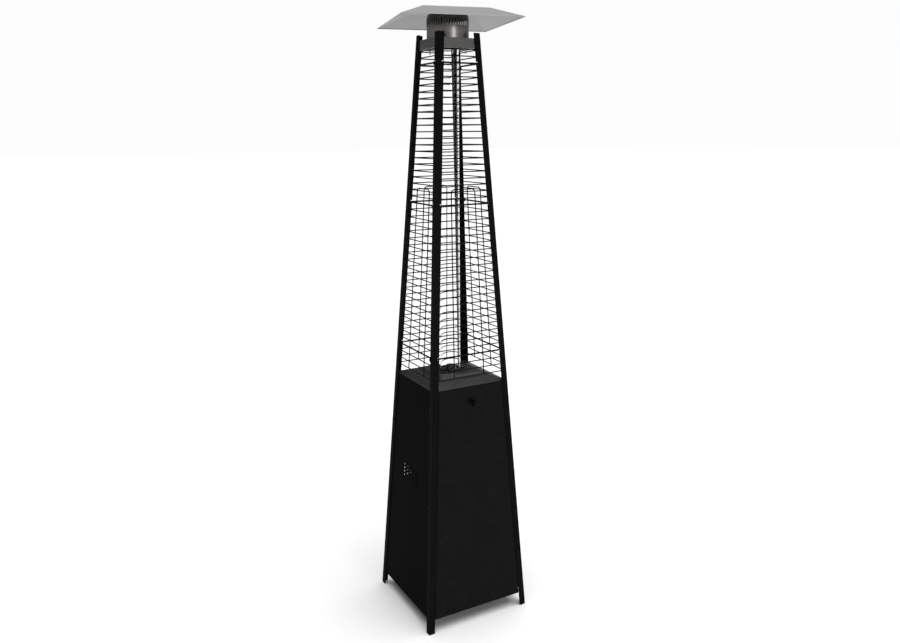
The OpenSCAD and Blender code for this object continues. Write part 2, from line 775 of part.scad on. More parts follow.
module neck_outline(grow) {
    r = neck_r - grow;
    h = neck_h - 2 * grow;
    translate([0, grow]) {
        square([r - neck_round + grow, h]);
        square([r, h - neck_round + grow]);
        translate([r - neck_round + grow, h - neck_round + grow]) circle(r = neck_round - grow);
    }
}
module neck_can() color(steel) difference() {
    translate([0, 0, neck_low]) rotate_extrude() difference() {
        neck_outline(0);
        neck_outline(neck_t);
        translate([-neck_d, -cut]) square([neck_d, 2 * neck_h]);
        translate([0, -cut]) square([neck_r - neck_foot, 3 * cut]);
    }
    for (i = [0 : slot_n - 1]) rotate([0, 0, i * 360 / slot_n])
        translate([neck_r, 0, neck_lid - slot_below_lid - slot_h / 2])
        cube([6 * neck_t, slot_w, slot_h], center = true);
    neck_screw_spots() translate([0, 0, neck_low - cut]) cylinder(d = screw_hole_d, h = 4 * cut);
    at_studs() translate([0, 0, neck_lid - 2 * neck_t]) cylinder(r = stud_hole_r, h = 4 * neck_t);
}

module at_studs() for (angle = stud_angles) rotate([0, 0, angle + reflector_turn])
    translate([stud_r, 0, 0]) children();

module reflector() color([0.75, 0.75, 0.75]) difference() {
    rotate([0, 0, reflector_turn]) {
        rim = reflector_high - reflector_drop;
        difference() {
            frustum(rim, reflector_w / 2, reflector_high, reflector_top_w / 2);
            translate([0, 0, -reflector_t])
                frustum(rim, reflector_w / 2, reflector_high, reflector_top_w / 2);
        }
        difference() {
            block(reflector_w / 2, rim - reflector_lip, rim + eps);
            block(reflector_w / 2 - reflector_t, rim - reflector_lip - cut, rim + cut);
        }
    }
    at_studs() translate([0, 0, neck_lid]) cylinder(r = stud_hole_r, h = 4 * spacer_h);
}
module reflector_spacers() color(steel) at_studs()
    ring(spacer_r, stud_hole_r, neck_lid + clear / 3, reflector_low - clear / 3);
module reflector_studs() color(steel) at_studs() {
    translate([0, 0, neck_lid - neck_t - stud_head_h - clear / 3])
        cylinder(d = nut_hex, h = stud_head_h, $fn = 6);
    translate([0, 0, neck_lid - neck_t - stud_grip])
        cylinder(d = stud_d, h = neck_t + stud_grip + spacer_h + reflector_t + nut_bore - clear);
}
module reflector_nuts() color(steel) at_studs() translate([0, 0, reflector_high + clear / 3]) difference() {
    union() {
        cylinder(d = nut_hex, h = nut_hex_h, $fn = 6);
        cylinder(r = nut_dome_r, h = nut_h - nut_dome_r);
        translate([0, 0, nut_h - nut_dome_r]) intersection() {
            sphere(r = nut_dome_r);
            cylinder(d = nut_hex, h = nut_h);
        }
    }
    translate([0, 0, -cut]) cylinder(d = stud_d + clear / 2, h = nut_bore + cut);
}

// ---- Controls on the rear panel

module at_controls(x) face(2) translate([x, 0, control_w0]) children();
plate_screw_x = control_w / 2 - window_rim / 2;
plate_screw_z = control_h / 2 - window_rim / 2;
module control_holes(len) for (x = [-1, 1], z = [-1, 1])
    translate([x * plate_screw_x, 0, control_w0 + z * plate_screw_z]) rod_y(m4_hole, 0, len);

module control_plate() color([0.2, 0.2, 0.2]) face(2) difference() {
    translate([-control_w / 2, plate_depth, control_w0 - control_h / 2]) cube([control_w, plate_t, control_h]);
    translate([-knob_x, 0, control_w0]) rod_y(stem_d + 2 * stem_gap, 0, 3 * leg_t);
    translate([igniter_x, 0, control_w0]) rod_y(2 * (igniter_r + clear), 0, 3 * leg_t);
    control_holes(3 * leg_t);
}
module control_screws() color(steel) face(2) for (x = [-1, 1], z = [-1, 1])
    translate([x * plate_screw_x, plate_depth, control_w0 + z * plate_screw_z])
    screw(m4_d, m4_len, m4_head, m4_h - head_gap);

module gas_valve() color([0.7, 0.6, 0.35]) at_controls(-knob_x) difference() {
    union() {
        translate([-valve_w / 2, valve_in, -valve_h / 2]) cube([valve_w, valve_len, valve_h]);
        rod_y(valve_boss, plate_depth + plate_t + clear, valve_in + eps);
    }
    rod_y(stem_d + 2 * run_clear, 0, valve_in + valve_len - valve_floor);
}
module valve_stem() color(steel) at_controls(-knob_x) rod_y(stem_d, -stem_out, stem_in);
module control_knob() color([0.1, 0.1, 0.1]) at_controls(-knob_x) difference() {
    union() {
        rod_y(knob_d, -knob_gap - knob_skirt_t, -knob_gap);
        rod_y(knob_d - 2 * knob_step, -knob_gap - knob_len, -knob_gap);
        translate([-knob_bar[0] / 2, -knob_gap - knob_len - knob_bar_out, -knob_d / 2 + knob_bar_inset])
            cube([knob_bar[0], knob_bar[1], knob_d - 2 * knob_bar_inset]);
    }
    rod_y(stem_d + 2 * run_clear, -stem_out - clear, 0);
}
module igniter_body() color([0.15, 0.15, 0.15]) at_controls(igniter_x) difference() {
    union() {
        rod_y(2 * igniter_r, plate_depth - igniter_flange_t, igniter_len);
        rod_y(2 * (igniter_r + igniter_flange), plate_depth - head_gap - igniter_flange_t, plate_depth - head_gap);
    }
    rod_y(button_d + 2 * run_clear, -button_room, button_room);
}
module igniter_button() color([0.6, 0.1, 0.08]) at_controls(igniter_x) {
    rod_y(button_d, -button_out, button_in);
}
module gas_pipe() color([0.75, 0.75, 0.76]) bent_pipe(pipe_points, pipe_d);

// Inlet under the valve: a hexagon and a nozzle that the hose is clamped on
module gas_inlet() color([0.72, 0.58, 0.28]) at_controls(-knob_x)
    translate([0, valve_in + valve_len / 2, -valve_h / 2]) difference() {
    union() {
        translate([0, 0, -hex_h - clear / 3]) cylinder(d = hex_d, h = hex_h, $fn = 6);
        translate([0, 0, -hex_h - nozzle_len]) cylinder(d = nozzle_d, h = nozzle_len);
    }
    translate([0, 0, -hex_h - nozzle_len - cut]) cylinder(d = nozzle_bore, h = nozzle_len);
}
module tilt_switch() color([0.2, 0.2, 0.22]) at_controls(-knob_x)
    translate([-valve_w / 2 - tilt_size[0] - clear / 3, valve_in, -tilt_size[2] / 2]) cube(tilt_size);

// High-voltage lead from the igniter to the spark electrode
module spark_lead() color([0.75, 0.15, 0.1]) {
    end = [probe_r * cos(electrode_at), probe_r * sin(electrode_at), cup_low - 8 - clear / 3];
    start = [-igniter_x, half_at(control_z) - igniter_len - clear, control_z - igniter_len * slope];
    low = cup_low - lead_low;
    bent_pipe([end, [end[0], end[1], low], [start[0], start[1] - lead_bend, low],
        [start[0], start[1] - lead_bend, start[2]], start], lead_d);
}

// ---- Screws

module panel_screws() color(steel) for (side = [1, 2, 3]) face(side) for (sign = [-1, 1], w = screw_rows)
    translate([sign * (edge_at(w) - screw_inset), 0, w]) screw(screw_d, screw_len, head_d_m5, head_h_m5);
module bracket_screws() color(steel) for (side = [0, 2]) face(side) for (sign = [-1, 1])
    translate([sign * (edge_at(bracket_screw_w) - screw_inset), 0, bracket_screw_w])
    screw(screw_d, screw_len, head_d_m5, head_h_m5);
// Bolts that hold the neck: a hexagon nut under the bracket, and the bolt's end below it
module neck_screws() color(steel) neck_screw_spots() {
    translate([0, 0, bracket_z - head_gap - neck_bolt_nut]) cylinder(d = head_d_m5, h = neck_bolt_nut, $fn = 6);
    translate([0, 0, bracket_z - neck_bolt_end]) cylinder(d = screw_d, h = neck_bolt_end + neck_bolt_rise);
}

leg_front_left();
leg_front_right();
leg_rear_right();
leg_rear_left();
panel_right();
panel_rear();
panel_left();
door_panel();
hinge_bracket_left();
hinge_bracket_right();
lock_barrel();
lock_nut();
lock_plug();
lock_key();
lock_cam();
base_shelf();
bottle_ring();
tray();
tray_skirt();
burner_cup();
burner_head();
gas_injector();
spark_electrode();
flame_sensor();
tube_seat();
tube_clips();
glass_tube();
tube_gasket();
guard_lower_front();
guard_lower_right();
guard_lower_rear();
guard_lower_left();
guard_upper_front();
guard_upper_right();
guard_upper_rear();
guard_upper_left();
top_bracket();
neck_can();
reflector();
reflector_spacers();
reflector_studs();
reflector_nuts();
control_plate();
gas_valve();
valve_stem();
control_knob();
igniter_body();
igniter_button();
gas_pipe();
gas_inlet();
tilt_switch();
spark_lead();
panel_screws();
bracket_screws();
neck_screws();
control_screws();
clip_screws();
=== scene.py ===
# %% [markdown]
# # A pyramid-shaped outdoor gas heater
# The heater is a tall steel frame with four leaning legs. A gas bottle stands in the cabinet
# at its foot, a flame burns in the glass tube above it, and a square sheet-metal reflector
# throws the heat back down. Its solids come ready-made from the frame file. This lesson gives
# them their finishes, and models by hand the small pieces that a plain solid can't carry.

# %% Load the frame
import math

import bpy
import bmesh
from mathutils import Matrix, Vector


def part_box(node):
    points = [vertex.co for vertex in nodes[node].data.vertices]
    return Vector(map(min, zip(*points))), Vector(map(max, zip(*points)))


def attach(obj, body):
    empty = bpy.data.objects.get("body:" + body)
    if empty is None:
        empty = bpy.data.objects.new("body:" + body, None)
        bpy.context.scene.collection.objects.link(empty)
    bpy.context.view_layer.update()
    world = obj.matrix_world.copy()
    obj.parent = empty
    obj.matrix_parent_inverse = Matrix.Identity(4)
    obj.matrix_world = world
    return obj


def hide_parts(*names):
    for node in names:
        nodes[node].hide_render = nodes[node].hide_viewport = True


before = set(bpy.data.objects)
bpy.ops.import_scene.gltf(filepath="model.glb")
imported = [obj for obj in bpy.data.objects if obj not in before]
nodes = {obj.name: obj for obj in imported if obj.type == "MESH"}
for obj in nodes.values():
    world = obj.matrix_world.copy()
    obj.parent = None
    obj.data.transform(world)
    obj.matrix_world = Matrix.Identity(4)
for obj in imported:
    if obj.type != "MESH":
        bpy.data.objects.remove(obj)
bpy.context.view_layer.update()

MM = 0.001

# %% [markdown]
# The operators in Blender act on whatever is selected, and the frame arrives with all of its
# nodes selected. So everything is deselected first, and again before each new piece.

# %% A clean start
def deselect_all():
    """Leaves edit mode and selects nothing."""
    if bpy.context.object and bpy.context.object.mode != "OBJECT":
        bpy.ops.object.mode_set(mode="OBJECT")
    bpy.ops.object.select_all(action="DESELECT")


def pick(*objects):
    """Selects these objects only, and makes the last one active."""
    deselect_all()
    for one in objects:
        one.select_set(True)
    bpy.context.view_layer.objects.active = objects[-1]


deselect_all()
print("nothing is selected")

# %% [markdown]
# ## The camera
# The camera stands at head height, in front of the heater and to its left, so that two faces
# of the pyramid show. Its direction is built from three angles: how far it turns to the right of
# the +Y axis, how far it looks down, and a very small roll.

# %% Camera
CAMERA_PLACE = Vector((-1.4174, -2.5926, 1.8493))
CAMERA_TURN = 0.5005
CAMERA_PITCH = -0.2322
CAMERA_ROLL = -0.0074
CAMERA_LENS = 31.89


def aim_camera(place, turn, pitch, roll):
    """The camera's place and direction as one matrix."""
    forward = Vector((math.sin(turn) * math.cos(pitch), math.cos(turn) * math.cos(pitch), math.sin(pitch)))
    right = forward.cross(Vector((0, 0, 1))).normalized()
    up = right.cross(forward)
    rolled_right = math.cos(roll) * right + math.sin(roll) * up
    rolled_up = math.cos(roll) * up - math.sin(roll) * right
    axes = Matrix((rolled_right, rolled_up, -forward)).transposed()
    return Matrix.Translation(place) @ axes.to_4x4()


bpy.ops.object.camera_add()
camera = bpy.context.object
camera.name = "camera"
camera.matrix_world = aim_camera(CAMERA_PLACE, CAMERA_TURN, CAMERA_PITCH, CAMERA_ROLL)
camera.data.sensor_width = 36
camera.data.lens = CAMERA_LENS
camera.data.dof.use_dof = False
bpy.context.scene.camera = camera
print("camera", tuple(round(v, 3) for v in camera.location), "lens", camera.data.lens)

# %% [markdown]
# ## Sums with shader sockets
# A finish is a small program made of nodes. Written node by node, it is hard to read. This
# class wraps a socket, so that `0.4 + 0.2 * grain` adds the Math nodes by itself.

# %% A socket that can be used in sums
class Field:
    """A value that changes over a surface. Sums with it add Math nodes to its finish."""

    def __init__(self, finish, socket):
        self.finish = finish
        self.socket = socket

    def math(self, operation, *values):
        return self.finish.add("ShaderNodeMath", {"operation": operation}, dict(enumerate(values)))

    def __add__(self, other):
        return self.math("ADD", self, other)

    __radd__ = __add__

    def __sub__(self, other):
        return self.math("SUBTRACT", self, other)

    def __rsub__(self, other):
        return self.math("SUBTRACT", other, self)

    def __mul__(self, other):
        return self.math("MULTIPLY", self, other)

    __rmul__ = __mul__

    def above(self, low, high):
        """0 below low, 1 above high and a smooth step between them."""
        return self.finish.add("ShaderNodeMapRange", {"interpolation_type": "SMOOTHSTEP"},
                               {"Value": self, "From Min": low, "From Max": high})


print("sums with sockets are ready")

# %% [markdown]
# Each node has a type, a few settings, and sockets that take values or links. One method adds
# any of them. A finish is a node tree that has its surface shader from the start, and it can
# make the patterns that most finishes share.

# %% Node trees and finishes
class Nodes:
    """A node tree while its nodes are being added."""

    def __init__(self, tree):
        self.tree = tree

    def add(self, kind, settings=None, sockets=None, output=0):
        """Adds one node. Settings come first, then the values or links of its sockets."""
        node = self.tree.nodes.new(kind)
        for name, value in (settings or {}).items():
            setattr(node, name, value)
        for name, value in (sockets or {}).items():
            self.join(value, node.inputs[name])
        return Field(self, node.outputs[output]) if node.outputs else None

    def join(self, value, socket):
        """Links a field to a socket, or sets a number or a colour on it."""
        if isinstance(value, Field):
            self.tree.links.new(value.socket, socket)
        elif socket.type == "RGBA":
            socket.default_value = (*value[:3], 1)
        else:
            socket.default_value = value


class Finish(Nodes):
    """One material. Its surface shader is there from the start."""

    def __init__(self, name, **surface):
        self.material = bpy.data.materials.new(name)
        self.material.use_nodes = True
        super().__init__(self.material.node_tree)
        self.surface = self.tree.nodes["Principled BSDF"]
        self.set(**surface)
        self.place = self.add("ShaderNodeTexCoord", output="Object")

    def set(self, **surface):
        """Values or links for the surface shader, with _ for each space in a socket's name."""
        for name, value in surface.items():
            self.join(value, self.surface.inputs[name.replace("_", " ")])

    def noise(self, scale, detail=2, place=None, roughness=0.5):
        return self.add("ShaderNodeTexNoise", {}, {"Vector": place or self.place, "Scale": scale,
                        "Detail": detail, "Roughness": roughness})

    def stretched(self, scale, turn=0):
        """Surface coordinates stretched along the axes, after a turn about +Z."""
        turned = self.add("ShaderNodeMapping", {}, {"Vector": self.place, "Rotation": (0, 0, turn)})
        return self.add("ShaderNodeVectorMath", {"operation": "MULTIPLY"}, {0: turned, 1: scale})

    def blend(self, factor, low, high):
        """A colour between low and high. A Mix node's colour sockets are its 6th and 7th."""
        return self.add("ShaderNodeMix", {"data_type": "RGBA"}, {0: factor, 6: low, 7: high}, output=2)

    def relief(self, height, distance, strength, normal=None):
        """A bump from a height field, as the shader's normal."""
        sockets = {"Height": height, "Distance": distance, "Strength": strength}
        if normal:
            sockets["Normal"] = normal
        self.set(Normal=self.add("ShaderNodeBump", {}, sockets))

    def soft_edges(self, radius):
        """A normal that rounds off sharp edges."""
        return self.add("ShaderNodeBevel", {"samples": 4}, {"Radius": radius})


print("shader helpers are ready")

# %% [markdown]
# ## Powder coat
# The legs, the panels and the guards are powder-coated steel. The powder is sprayed on dry and
# melted in an oven, which leaves a satin black skin with a very fine orange peel. Its relief
# is a noise a few millimetres wide. A much larger noise makes the sheen drift a little, as
# handling and dust do outdoors. The left panel wears a darker copy of the door's coat: painted
# shade for the side that the light misses.

# %% Powder coat finishes
def powder_coat(name, colour, roughness, peel_scale, peel_height, gloss, edge=0.0, dust=0.35):
    finish = Finish(name, Specular_IOR_Level=gloss)
    drift = finish.noise(5, detail=4)
    settled = finish.noise(23, detail=6, roughness=0.65).above(0.48, 0.75)
    dusty = tuple(c * 1.9 + 0.0015 for c in colour)
    finish.set(Base_Color=finish.blend(dust * settled + 0.25 * drift, colour, dusty))
    finish.set(Roughness=roughness + 0.16 * drift + 0.08 * settled - 0.08)
    peel = finish.noise(peel_scale, detail=3) + 0.35 * finish.noise(peel_scale * 3.7, detail=1)
    finish.relief(peel, peel_height, 0.8, finish.soft_edges(edge) if edge else None)
    return finish.material


leg_coat = powder_coat("leg_powder_coat", (0.0054, 0.0054, 0.0053), 0.44,
                       peel_scale=420, peel_height=0.00018, edge=0.0007, gloss=0.005)
# Painted shade: a darker copy of the door's coat, for the left panel, the shelf, the bottle ring and the
# tube clips.
shaded_panel_coat = powder_coat("shaded_panel_powder_coat", (0.0024, 0.0024, 0.0023), 0.46,
                         peel_scale=380, peel_height=0.00018, edge=0.0004, gloss=0.004)
sheet_coat = powder_coat("sheet_powder_coat", (0.0078, 0.0078, 0.0077), 0.46,
                         peel_scale=380, peel_height=0.00018, edge=0.0004, gloss=0.008)
wire_coat = powder_coat("wire_powder_coat", (0.0036, 0.0036, 0.0036), 0.42,
                        peel_scale=900, peel_height=0.00008, gloss=0.05)
tray_coat = powder_coat("tray_powder_coat", (0.0135, 0.0135, 0.0155), 0.46,
                        peel_scale=650, peel_height=0.00022, edge=0.0005, dust=0.6, gloss=0.62)
print("powder coats:", leg_coat.name, shaded_panel_coat.name, sheet_coat.name, wire_coat.name, tray_coat.name)

# %% [markdown]
# ## Stainless steel
# The neck and the bracket under it are brushed stainless steel. A belt draws the grain along
# the strip before it is rolled up, so on the neck the lines run round it. The same noise,
# squeezed hard along +Z, gives those lines. Heat from the flame turns the steel slightly
# straw-coloured. The neck's top, in the shade of the reflector, is painted dark above a
# ragged edge: a painted shade band.

# %% Stainless finishes
def brushed_steel(name, colour, stretch, roughness, warm=0.0, painted_shade_band=None):
    """The last argument holds two heights: the steel keeps its colour below the first and is painted dark
    above the second, a painted shade under the reflector.
    """
    finish = Finish(name, Metallic=1.0)
    lines = finish.noise(1, detail=3, place=finish.stretched(stretch))
    cloud = finish.noise(14, detail=4)
    tint = tuple(c * k for c, k in zip(colour, (1.0, 0.90, 0.74)))
    dark = tuple(c * 0.72 for c in colour)
    heated = finish.blend(cloud * warm, colour, tint)
    brushed = finish.blend(lines.above(0.25, 0.75), dark, heated)
    # Painted shade: above the given heights the neck's colour is darkened towards black, standing in for
    # the reflector's shade on its top.
    if painted_shade_band:
        height = finish.add("ShaderNodeSeparateXYZ", {}, {"Vector": finish.place}, output=2)
        shade_edge_height = height + 0.012 * cloud
        painted_shade_colour = tuple(c * 0.22 for c in colour)
        brushed = finish.blend(shade_edge_height.above(*painted_shade_band), brushed, painted_shade_colour)
    finish.set(Base_Color=brushed)
    finish.set(Roughness=roughness - 0.06 + 0.14 * lines + 0.10 * cloud)
    finish.relief(lines, 0.00003, 0.6)
    return finish.material


# The heights between which the painted shade on the neck's top fades in.
UNSHADED_BELOW, FULL_SHADE_ABOVE = 2.196, 2.236
neck_steel = brushed_steel("neck_steel", (0.25, 0.245, 0.24), (24, 24, 2600), 0.32, warm=0.9,
                           painted_shade_band=(UNSHADED_BELOW, FULL_SHADE_ABOVE))
bracket_steel = brushed_steel("bracket_steel", (0.155, 0.16, 0.15), (30, 30, 2200), 0.42)
burner_steel = brushed_steel("burner_steel", (0.050, 0.045, 0.040), (90, 90, 1400), 0.50, warm=1.0)
zinc_plate = brushed_steel("zinc_plate", (0.40, 0.40, 0.41), (700, 700, 700), 0.36)
black_zinc = brushed_steel("black_zinc", (0.014, 0.014, 0.014), (600, 600, 600), 0.45)
black_nickel = brushed_steel("black_nickel", (0.010, 0.010, 0.010), (500, 500, 500), 0.38)
print("steels:", neck_steel.name, bracket_steel.name, burner_steel.name, zinc_plate.name,
      black_zinc.name, black_nickel.name)

# %% [markdown]
# ## The reflector's aluminium
# The reflector is plain aluminium sheet, folded but not polished. Rolling leaves long faint
# streaks in one direction, and its skin is dull rather than shiny. The streaks follow the
# sheet, so the pattern is turned with it.

# %% Aluminium and other metals
REFLECTOR_TURN = math.radians(-13)


def rolled_sheet(name, colour, turn):
    finish = Finish(name, Metallic=1.0)
    streaks = finish.noise(1, detail=4, place=finish.stretched((6, 420, 60), -turn))
    stain = finish.noise(7, detail=5, roughness=0.6)
    dull, light = tuple(c * 0.9 for c in colour), tuple(c * 1.12 for c in colour)
    finish.set(Base_Color=finish.blend(0.6 * streaks + 0.4 * stain, dull, light))
    finish.set(Roughness=0.44 + 0.10 * streaks + 0.08 * stain)
    finish.relief(streaks + 0.5 * stain, 0.00005, 0.5)
    return finish.material


def cast_metal(name, colour, roughness, grain):
    finish = Finish(name, Metallic=1.0)
    sand = finish.noise(grain, detail=4)
    finish.set(Base_Color=finish.blend(sand, tuple(c * 0.8 for c in colour), colour))
    finish.set(Roughness=roughness + 0.16 * sand - 0.08)
    finish.relief(sand, 0.00008, 0.7)
    return finish.material


reflector_sheet = rolled_sheet("reflector_sheet", (0.333, 0.333, 0.333), REFLECTOR_TURN)
brass = cast_metal("bare_brass", (0.66, 0.46, 0.18), 0.30, 600)
copper = cast_metal("bare_copper", (0.66, 0.32, 0.18), 0.32, 800)
valve_casting = cast_metal("valve_casting", (0.42, 0.42, 0.42), 0.48, 1400)
print("metals:", reflector_sheet.name, brass.name, copper.name, valve_casting.name)

# %% [markdown]
# ## Glass, rubber, plastic and ceramic
# The flame tube is glass with a real wall, so light bends at both of its faces, and only its
# edges show as lines. Rubber and plastic are rough and not metallic. The electrode's ceramic
# is white and slightly glazed.

# %% Glass
def clear_glass(name):
    finish = Finish(name, Transmission_Weight=1.0, IOR=1.25, Base_Color=(0.995, 0.998, 0.998))
    soot = finish.noise(9, detail=4).above(0.55, 0.85)
    finish.set(Roughness=0.004 * soot)
    return finish.material


def moulded(name, colour, roughness, grain=1800, coat=0.0):
    finish = Finish(name, Coat_Weight=coat)
    skin = finish.noise(grain, detail=2)
    wear = finish.noise(60, detail=5).above(0.5, 0.8)
    finish.set(Base_Color=finish.blend(wear, colour, tuple(c * 1.25 + 0.01 for c in colour)))
    finish.set(Roughness=roughness + 0.12 * wear + 0.06 * skin)
    finish.relief(skin, 0.00004, 0.6)
    return finish.material


glass = clear_glass("borosilicate_glass")
silicone = moulded("red_silicone", (0.32, 0.05, 0.03), 0.55)
black_plastic = moulded("black_plastic", (0.016, 0.016, 0.016), 0.45)
red_plastic = moulded("red_plastic", (0.40, 0.02, 0.015), 0.22, coat=0.4)
ceramic = moulded("white_ceramic", (0.78, 0.75, 0.68), 0.25, grain=500, coat=0.3)
print("others:", glass.name, silicone.name, black_plastic.name, red_plastic.name, ceramic.name)

# %% [markdown]
# ## Dressing the frame's nodes
# Each node keeps its solid and gets a finish. A node's object has its own material slots, so
# the finish is put there. The list below says which finish belongs to which pieces.

# %% Finishes on the nodes
WEARS = {
    leg_coat: ["leg_front_left", "leg_front_right", "leg_rear_right", "leg_rear_left"],
    shaded_panel_coat: ["panel_left", "base_shelf", "bottle_ring", "tube_clips"],
    sheet_coat: ["door_panel", "panel_right", "panel_rear"],
    tray_coat: ["tray", "tray_skirt", "tube_seat", "control_plate"],
    wire_coat: [name for name in nodes if name.startswith("guard_")],
    neck_steel: ["neck_can"],
    bracket_steel: ["top_bracket", "gas_pipe"],
    burner_steel: ["burner_head", "burner_cup"],
    black_nickel: ["lock_barrel", "lock_plug", "lock_key"],
    zinc_plate: ["hinge_bracket_left", "hinge_bracket_right", "lock_nut", "lock_cam",
                 "reflector_spacers", "reflector_studs", "reflector_nuts", "valve_stem",
                 "panel_screws", "bracket_screws", "neck_screws", "control_screws", "clip_screws"],
    reflector_sheet: ["reflector"],
    brass: ["gas_injector", "gas_inlet"],
    copper: ["flame_sensor"],
    ceramic: ["spark_electrode"],
    glass: ["glass_tube"],
    silicone: ["tube_gasket", "spark_lead"],
    valve_casting: ["gas_valve"],
    black_plastic: ["control_knob", "igniter_body", "tilt_switch"],
    red_plastic: ["igniter_button"],
}


def dress(piece, material):
    """Puts one finish in every material slot of a piece."""
    if not piece.material_slots:
        piece.data.materials.append(material)
    for slot in piece.material_slots:
        slot.material = material


dressed = 0
for material, names in WEARS.items():
    for name in names:
        dress(nodes[name], material)
        dressed += 1
print("dressed", dressed, "of", len(nodes), "nodes")

# %% [markdown]
# ## Tools for the small pieces
# Each small piece starts as a primitive and is shaped in edit mode. An operator acts on what is
# selected, so these helpers select faces and edges by their place or the way they point.

# %% Selection in edit mode
def edit(piece):
    pick(piece)
    bpy.ops.object.mode_set(mode="EDIT")
    bpy.ops.mesh.select_all(action="DESELECT")


def select_faces(piece, test):
    """Selects the faces in edit mode for which test(centre, normal) is true."""
    bpy.ops.mesh.select_mode(type="FACE")
    mesh = bmesh.from_edit_mesh(piece.data)
    for face in mesh.faces:
        face.select = bool(test(face.calc_center_median(), face.normal))
    bmesh.update_edit_mesh(piece.data)


def select_edges(piece, test):
    """Selects the edges in edit mode for which test(first end, second end) is true."""
    bpy.ops.mesh.select_mode(type="EDGE")
    mesh = bmesh.from_edit_mesh(piece.data)
    for edge in mesh.edges:
        edge.select = bool(test(edge.verts[0].co, edge.verts[1].co))
    mesh.select_flush_mode()
    bmesh.update_edit_mesh(piece.data)


print("selection helpers are ready")

# %% [markdown]
# A finished piece sits at the origin, because a finish reads each point's place from the
# object. So its place is applied to its mesh. Then it gets its finish and the body it rides
# on, and the plain solids it stands in for are hidden.

# %% Copies and finished pieces
def copy_at(piece, matrix):
    """A copy of a piece with its own mesh, placed by a matrix that is applied to the mesh."""
    twin = piece.copy()
    twin.data = piece.data.copy()
    twin.data.transform(matrix)
    bpy.context.collection.objects.link(twin)
    return twin


def joined(name, pieces):
    """Joins several pieces into one with this name."""
    pick(*pieces)
    bpy.ops.object.join()
    whole = bpy.context.object
    whole.name = whole.data.name = name
    return whole


def finished(piece, name, material, body, slot, *replaced):
    """Smooths a piece, dresses it, and gives it to a body of the frame."""
    pick(piece)
    bpy.ops.object.transform_apply(location=True, rotation=True, scale=True)
    bpy.ops.object.shade_smooth_by_angle(angle=math.radians(35))
    piece.name = piece.data.name = name
    piece.data.materials.clear()
    dress(piece, material)
    if replaced:
        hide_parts(*replaced)
    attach(piece, body)
    print(name, "has", len(piece.data.polygons), "faces")
    return piece


def islands(node):
    """The separate solids of a node, in the order of their corners: for each, its corners."""
    mesh = bmesh.new()
    mesh.from_mesh(nodes[node].data)
    bmesh.ops.remove_doubles(mesh, verts=mesh.verts, dist=1e-6)
    left, found = set(mesh.verts), []
    for first in mesh.verts:
        if first not in left:
            continue
        left.discard(first)
        stack, island = [first], []
        while stack:
            corner = stack.pop()
            island.append(corner.co.copy())
            for edge in corner.link_edges:
                other = edge.other_vert(corner)
                if other in left:
                    left.discard(other)
                    stack.append(other)
        found.append(island)
    mesh.free()
    return found


print("modelling helpers are ready")

# %% [markdown]
# ## Pan-head screws
# Screws with a low, rounded head and a cross recess hold the panels and the brackets. Those
# of the panels and the top bracket are plated black, and the others are bright. One head is
# modelled from a cylinder: the rim is bevelled into a dome, and a cross is pressed into the
# top. Then it is copied onto each screw of the frame.

# %% One screw
def pan_head_screw(head_r, head_h, shank_r, length):
    """A screw whose head points up, with the head's seat at the origin."""
    deselect_all()
    bpy.ops.mesh.primitive_cylinder_add(vertices=32, radius=head_r, depth=head_h,
                                        location=(0, 0, head_h / 2))
    head = bpy.context.object
    bpy.ops.object.transform_apply(location=True)
    edit(head)
    select_edges(head, lambda a, b: min(a.z, b.z) > head_h * 0.9)
    dome_height = head_h * 0.62
    bpy.ops.mesh.bevel(offset=dome_height, segments=5, profile=0.62)
    deselect_all()
    recess_size = (head_r * 1.24, head_r * 0.24, head_h * 1.1)
    cutters = []
    for turn in (0, math.pi / 2):
        bpy.ops.mesh.primitive_cube_add(size=1, location=(0, 0, head_h), rotation=(0, 0, turn))
        bar = bpy.context.object
        bar.scale = recess_size
        bpy.ops.object.transform_apply(location=True, rotation=True, scale=True)
        cutters.append(bar)
        deselect_all()
    for bar in cutters:
        recess = head.modifiers.new("recess", "BOOLEAN")
        recess.operation, recess.solver, recess.object = "DIFFERENCE", "EXACT", bar
        pick(head)
        bpy.ops.object.modifier_apply(modifier="recess")
        bpy.data.objects.remove(bar)
    bpy.ops.mesh.primitive_cylinder_add(vertices=20, radius=shank_r, depth=length,
                                        location=(0, 0, -length / 2))
    shank = bpy.context.object
    bpy.ops.object.transform_apply(location=True)
    edit(shank)
    select_edges(shank, lambda a, b: max(a.z, b.z) < -length * 0.9)
    bpy.ops.mesh.bevel(offset=shank_r * 0.4, segments=2)
    deselect_all()
    return joined("screw", [shank, head])


print("a pan-head screw can be made")

# %% [markdown]
# A node may hold many solid screws. Each one is an island of corners: its middle tells which
# way its head points, and its outer end tells where the head is. The screws are turned round
# their own axes by different amounts, as a screwdriver leaves them.

# %% Screws in place of solid ones
TURN_PER_SCREW = 0.7


def screws_on(node, name, pattern, seat, out, metal=zinc_plate):
    """Puts a copy of a screw on each solid screw of a node, which it replaces.

    out(middle) is the head's direction, and seat is how far the head's seat lies below the
    solid screw's end in that direction.
    """
    copies = []
    for number, island in enumerate(islands(node)):
        middle = sum(island, Vector()) / len(island)
        way = out(middle).normalized()
        tip = max(p.dot(way) for p in island)
        ends = [p for p in island if p.dot(way) > tip - 1e-5]
        crown = sum(ends, Vector()) / len(ends)
        aim = way.to_track_quat("Z", "Y").to_matrix().to_4x4()
        turn = Matrix.Rotation(number * TURN_PER_SCREW, 4, "Z")
        copies.append(copy_at(pattern, Matrix.Translation(crown - way * seat) @ aim @ turn))
    bpy.data.objects.remove(pattern)
    whole = joined(name, copies)
    return finished(whole, name, metal, "stand", "zinc", node)


